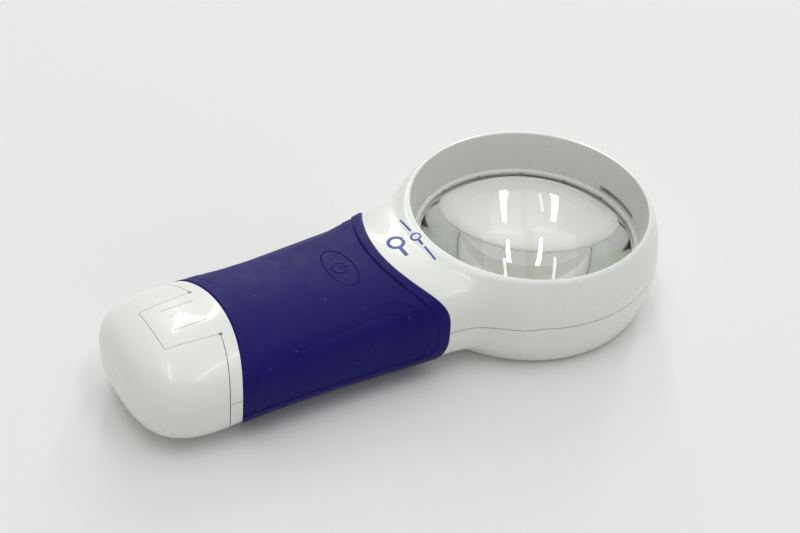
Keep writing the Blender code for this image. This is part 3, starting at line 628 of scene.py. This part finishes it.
def edge_x(edge, y, side):
    """x of a curved edge at each y, with a hair of clearance, on the cylinder's given side."""
    centre_x, radius = edge
    return centre_x + side * np.sqrt((radius + 0.02)**2 - np.minimum(np.abs(y), 24.0)**2)


def step_up(value, low, high):
    """Smooth rise from 0 to 1 as value goes from low to high."""
    t = np.clip((value - low) / (high - low), 0.0, 1.0)
    return t * t * (3.0 - 2.0 * t)


# The rubber stands this far proud of the plain form
RUBBER_RISE = 0.12
BEAD_WIDTH, BEAD_HEIGHT, BEAD_GROOVE = 2.45, 0.26, 0.20
HOLLOW_DEPTH, HOLLOW_STEP = 0.9, 0.15


def sleeve_relief(x, y, z):
    """Height of the sleeve's surface above its plain form: border bead, finger hollows, edges."""
    front = np.hypot(x - FRONT_EDGE[0], y) - FRONT_EDGE[1]
    rear = np.hypot(x - REAR_EDGE[0], y) - REAR_EDGE[1]
    field = smooth_min(front - BEAD_WIDTH, z - 7.6, 3.0)
    relief = BEAD_HEIGHT * (1.0 - step_up(field, -0.12, 0.16))
    relief -= BEAD_GROOVE * np.exp(-(field / 0.17)**2)
    upper_corners = step_up(z, 14.0, 19.0) * step_up(np.abs(y), 6.0, 10.0)
    relief -= 0.10 * np.exp(-((rear - 2.3) / 0.16)**2) * upper_corners
    hollow = smooth_min(smooth_min(front - 4.3, rear - 4.2, 4.0), np.abs(y) - 13.3, 4.5)
    hollow = smooth_min(hollow, z - 6.5, 5.0)
    crisp = np.maximum(step_up(x, -56.0, -46.0), 1.0 - step_up(x, -76.0, -73.0))
    relief -= HOLLOW_STEP * crisp * step_up(hollow, -0.1, 0.35)
    relief -= HOLLOW_DEPTH * step_up(hollow, -0.5, 7.0)
    relief -= 0.35 * (1.0 - step_up(front, 0.0, 0.45)) + 0.3 * (1.0 - step_up(rear, 0.0, 0.4))
    return relief


def surface_normals(grid):
    """Outward unit normals of a grid of points, rows along x and columns round the section."""
    along = np.gradient(grid, axis=0)
    padded = np.concatenate((grid[:, -1:], grid, grid[:, :1]), axis=1)
    around = (padded[:, 2:] - padded[:, :-2]) / 2.0
    normal = np.cross(around, along)
    return normal / np.linalg.norm(normal, axis=2, keepdims=True)


def make_sleeve():
    rows, columns = 250, 384
    table = arc_table(columns)
    column = np.arange(columns)[None, :].repeat(rows, 0)
    ease = np.linspace(0.0, 1.0, rows)[:, None]
    y = read_table(table, np.full((rows, columns), -57.0), column)[0]
    for _ in range(5):
        low, high = edge_x(REAR_EDGE, y, 1.0), edge_x(FRONT_EDGE, y, -1.0)
        x = low + (high - low) * ease
        y, z = read_table(table, x, column)
    skin = np.stack((x, y, z), axis=2)
    normals = surface_normals(skin)
    outer = skin + normals * (RUBBER_RISE + sleeve_relief(x, y, z))[..., None]
    inner = (skin - normals * (SLEEVE_THICKNESS - 0.05))[[0, -1]]
    bm = bmesh.new()
    rings = [inner[0]] + list(outer) + [inner[1]]
    verts = [[bm.verts.new(at(*point)) for point in ring] for ring in rings]
    verts.append(verts[0])
    for near, far in zip(verts, verts[1:]):
        for k in range(columns):
            bm.faces.new((near[k], near[(k + 1) % columns], far[(k + 1) % columns], far[k]))
    sleeve = object_from_bmesh("sleeve_form", bm)
    cut(sleeve, button_cutter("pad_hole", 0.1, 96))
    finish_piece(sleeve, "grip_cover", RUBBER, "housing", "blue_rubber", "grip_sleeve", sharp=50.0)


def top_height(x, y):
    """Height of the handle's plain form over the point x, y."""
    half, up, _, square_up, _ = handle_section(x)
    return PARTING_Z + up * (1.0 - np.minimum(np.abs(y) / half, 0.999)**square_up) ** (1.0 / square_up)


def power_sign(x, y):
    """Raised height of a plain on-off symbol: a broken ring with a bar, as on many buttons."""
    radius, angle = np.hypot(x, y), np.arctan2(y, x)
    ring = np.exp(-((radius - 1.65) / 0.22)**2) * step_up(np.abs(angle), 0.45, 0.65)
    bar = np.exp(-(y / 0.24)**2) * step_up(x, 0.1, 0.35) * (1.0 - step_up(x, 2.0, 2.3))
    return 0.14 * np.maximum(ring, bar)


def make_pad():
    rings, spokes = 44, 144
    share = np.linspace(0.0, 1.0, rings + 1)[1:, None]
    angle = np.linspace(0.0, 2.0 * np.pi, spokes, endpoint=False)[None, :]
    dx, dy = BUTTON_HALF[0] * share * np.cos(angle), BUTTON_HALF[1] * share * np.sin(angle)
    crown = RUBBER_RISE - 0.14 * step_up(share, 0.95, 1.0) + power_sign(dx, dy)
    z = top_height(BUTTON_X + dx, dy) + crown
    bm = bmesh.new()
    centre = bm.verts.new(at(BUTTON_X, 0.0, float(top_height(BUTTON_X, 0.0)) + RUBBER_RISE))
    loops = [[bm.verts.new(at(BUTTON_X + dx[r, k], dy[r, k], z[r, k])) for k in range(spokes)]
             for r in range(rings)]
    skirt = [bm.verts.new(at(BUTTON_X + dx[-1, k], dy[-1, k], z[-1, k] - 0.75)) for k in range(spokes)]
    loops.append(skirt)
    for k in range(spokes):
        bm.faces.new((centre, loops[0][k], loops[0][(k + 1) % spokes]))
    for near, far in zip(loops, loops[1:]):
        for k in range(spokes):
            bm.faces.new((near[k], far[k], far[(k + 1) % spokes], near[(k + 1) % spokes]))
    bm.faces.new(skirt)
    pad = object_from_bmesh("pad_form", bm)
    finish_piece(pad, "press_pad", RUBBER, "button", "blue_rubber", "button_pad", sharp=50.0)


def form_height(x, y):
    """Height of the upper outer surface over each point, by halving."""
    low, high = np.full_like(x, PARTING_Z), np.full_like(x, ABOVE_Z)
    for _ in range(18):
        middle = (low + high) / 2.0
        inside = outer_distance(np.stack((x, y, middle), axis=1)) < 0.0
        low, high = np.where(inside, middle, low), np.where(inside, high, middle)
    return low


def ink_stroke(points, width):
    """Printed line of even width through points (x, y), a hair proud of the housing."""
    points = np.array(points, float)
    run = np.concatenate(([0.0], np.cumsum(np.linalg.norm(np.diff(points, axis=0), axis=1))))
    stops = np.linspace(0.0, run[-1], max(3, int(run[-1] / 0.2)))
    path = np.stack([np.interp(stops, run, points[:, k]) for k in (0, 1)], axis=1)
    ahead = np.gradient(path, axis=0)
    ahead /= np.linalg.norm(ahead, axis=1, keepdims=True)
    side = np.stack((-ahead[:, 1], ahead[:, 0]), axis=1) * width / 2.0
    bm = bmesh.new()
    rows = []
    for edge, lift in ((side, 0.025), (-side, 0.025), (-side, -0.05), (side, -0.05)):
        spots = path + edge
        heights = form_height(spots[:, 0], spots[:, 1]) + lift
        rows.append([bm.verts.new(at(*spot, z)) for spot, z in zip(spots, heights)])
    for first, second in zip(rows, rows[1:] + rows[:1]):
        for k in range(len(stops) - 1):
            bm.faces.new((first[k], first[k + 1], second[k + 1], second[k]))
    bm.faces.new([row[0] for row in rows])
    bm.faces.new([row[-1] for row in reversed(rows)])
    return object_from_bmesh("stroke", bm)


def circle(x, y, radius, steps=25):
    turns = np.radians(np.linspace(0.0, 356.0, steps))
    return [(x + radius * math.cos(a), y + radius * math.sin(a)) for a in turns]


def make_print():
    """Plain marks on the neck: a small loupe between two dashes, and a larger loupe beside them."""
    small_x, large_x = -29.4, -34.0
    thin, handle, bold, bold_handle = 0.42, 0.5, 0.8, 0.95
    marks = ink_stroke(((small_x, 3.1), (small_x, 7.8)), thin)
    join(marks, ink_stroke(((small_x, -3.1), (small_x, -7.8)), thin))
    join(marks, ink_stroke(circle(small_x, 0.8, 1.05), thin))
    join(marks, ink_stroke(((small_x, -0.5), (small_x, -2.2)), handle))
    join(marks, ink_stroke(circle(large_x, 1.6, 1.7), bold))
    join(marks, ink_stroke(((large_x, -0.4), (large_x, -3.4)), bold_handle))
    finish_piece(marks, "printed_marks", PRINT, "housing", "blue_rubber")


make_sleeve()
make_pad()
make_print()


# ---------------------------------------------------------------- lens and its ring

LENS_UPPER_RADIUS, LENS_LOWER_RADIUS, RIM_CHAMFER = 38.0, 50.0, 0.15
RING_NOTCHES, FIRST_NOTCH_ANGLE, RING_CHAMFER = 15, 12.0, 0.4


def sag(radius, r):
    """Depth of a spherical surface at distance r from its axis."""
    return radius - math.sqrt(radius**2 - r**2)


def make_lens():
    clear, flange = 24.4, 25.9
    low, high = 12.3, 13.1
    reach = np.linspace(0.0, clear, 40)
    apex, foot = high + sag(LENS_UPPER_RADIUS, clear), low - sag(LENS_LOWER_RADIUS, clear)
    upper = [(r, apex - sag(LENS_UPPER_RADIUS, r)) for r in reach]
    lower = [(r, foot + sag(LENS_LOWER_RADIUS, r)) for r in reversed(reach)]
    rim = [(flange - RIM_CHAMFER, high), (flange, high - RIM_CHAMFER),
           (flange, low + RIM_CHAMFER), (flange - RIM_CHAMFER, low)]
    lens = turned("lens_form", upper + rim + lower, steps=160)
    finish_piece(lens, "lens_optic", ACRYLIC, "housing", "lens_acrylic", "lens", sharp=25.0)
    lens.visible_shadow = False


def make_lens_ring():
    ring_low, ring_high, inner = 13.4, 14.45, 24.95
    outer = POCKET_RADIUS - 0.3
    ring = turned("ring_form", [(outer, ring_high), (outer, ring_low), (inner, ring_low),
                                (inner, ring_high - RING_CHAMFER), (inner + RING_CHAMFER, ring_high)])
    centre = Matrix.Translation(at(0.0, 0.0, 0.0))
    for k in range(RING_NOTCHES):
        angle = FIRST_NOTCH_ANGLE + 360.0 * k / RING_NOTCHES
        turn = Matrix.Rotation(math.radians(angle), 4, "Z")
        notch = box("notch", (inner - 0.7, -0.5, 13.0), (inner + 0.35, 0.5, 13.85))
        notch.data.transform(centre @ turn @ centre.inverted())
        cut(ring, notch)
    finish_piece(ring, "lens_bezel", WHITE, "housing", "white_plastic", "lens_retaining_ring")


make_lens()
make_lens_ring()


# ---------------------------------------------------------------- carried-over parts

for node, material in CAD_MATERIALS.items():
    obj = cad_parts[node]
    obj.data.materials.clear()
    obj.data.materials.append(material)


# ---------------------------------------------------------------- stage

def make_stage():
    floor_mesh = bpy.data.meshes.new("floor")
    bm = bmesh.new()
    bmesh.ops.create_grid(bm, x_segments=1, y_segments=1, size=6.0)
    bm.to_mesh(floor_mesh)
    bm.free()
    floor = add_object("floor", floor_mesh)
    material, _, _, shader = new_material("floor_paper")
    shader.inputs["Base Color"].default_value = (0.82, 0.825, 0.82, 1.0)
    shader.inputs["Roughness"].default_value = 0.9
    shader.inputs["Specular IOR Level"].default_value = 0.1
    floor.data.materials.append(material)

    world = bpy.data.worlds.new("studio")
    bpy.context.scene.world = world
    world.use_nodes = True
    sky = world.node_tree.nodes["Background"]
    sky.inputs["Color"].default_value = (1.0, 1.0, 0.97, 1.0)
    sky.inputs["Strength"].default_value = 0.5


def direction(azimuth, elevation):
    """Unit vector; azimuth is counted from +X towards +Y, both angles in degrees."""
    a, e = math.radians(azimuth), math.radians(elevation)
    return Vector((math.cos(e) * math.cos(a), math.cos(e) * math.sin(a), math.sin(e)))


LIGHT_DISTANCE = 3.0


def add_light(name, start, end, width, power):
    """Rectangular light that faces the object and runs from one direction to another."""
    first, last = direction(*start) * LIGHT_DISTANCE, direction(*end) * LIGHT_DISTANCE
    centre, along = (first + last) / 2.0, (last - first).normalized()
    facing = centre.normalized()
    across = along.cross(facing).normalized()
    light = bpy.data.lights.new(name, "AREA")
    light.shape = "RECTANGLE"
    light.size, light.size_y = width, (last - first).length
    light.energy = power
    obj = bpy.data.objects.new(name, light)
    bpy.context.scene.collection.objects.link(obj)
    turn = Matrix((across, facing.cross(across), facing)).transposed().to_4x4()
    obj.matrix_world = Matrix.Translation(centre) @ turn


make_camera()
make_stage()
bpy.context.scene.view_settings.view_transform = "Standard"
# Two long ceiling tubes, each seen as a far and a near length, and two softer panels overhead
add_light("tube_left_far", (60.5, 3.0), (70.5, 50.0), 0.12, 14.5)
add_light("tube_right_far", (47.5, 1.0), (36.0, 43.0), 0.12, 14.5)
add_light("tube_left_near", (112.0, 77.0), (214.5, 67.0), 0.1, 5.5)
add_light("tube_right_near", (-1.0, 66.0), (-80.0, 60.0), 0.1, 5.5)
add_light("panel_left_over", (75.0, 56.0), (220.0, 62.0), 1.2, 9.5)
add_light("panel_right_over", (31.0, 49.0), (-80.0, 60.0), 1.2, 9.5)
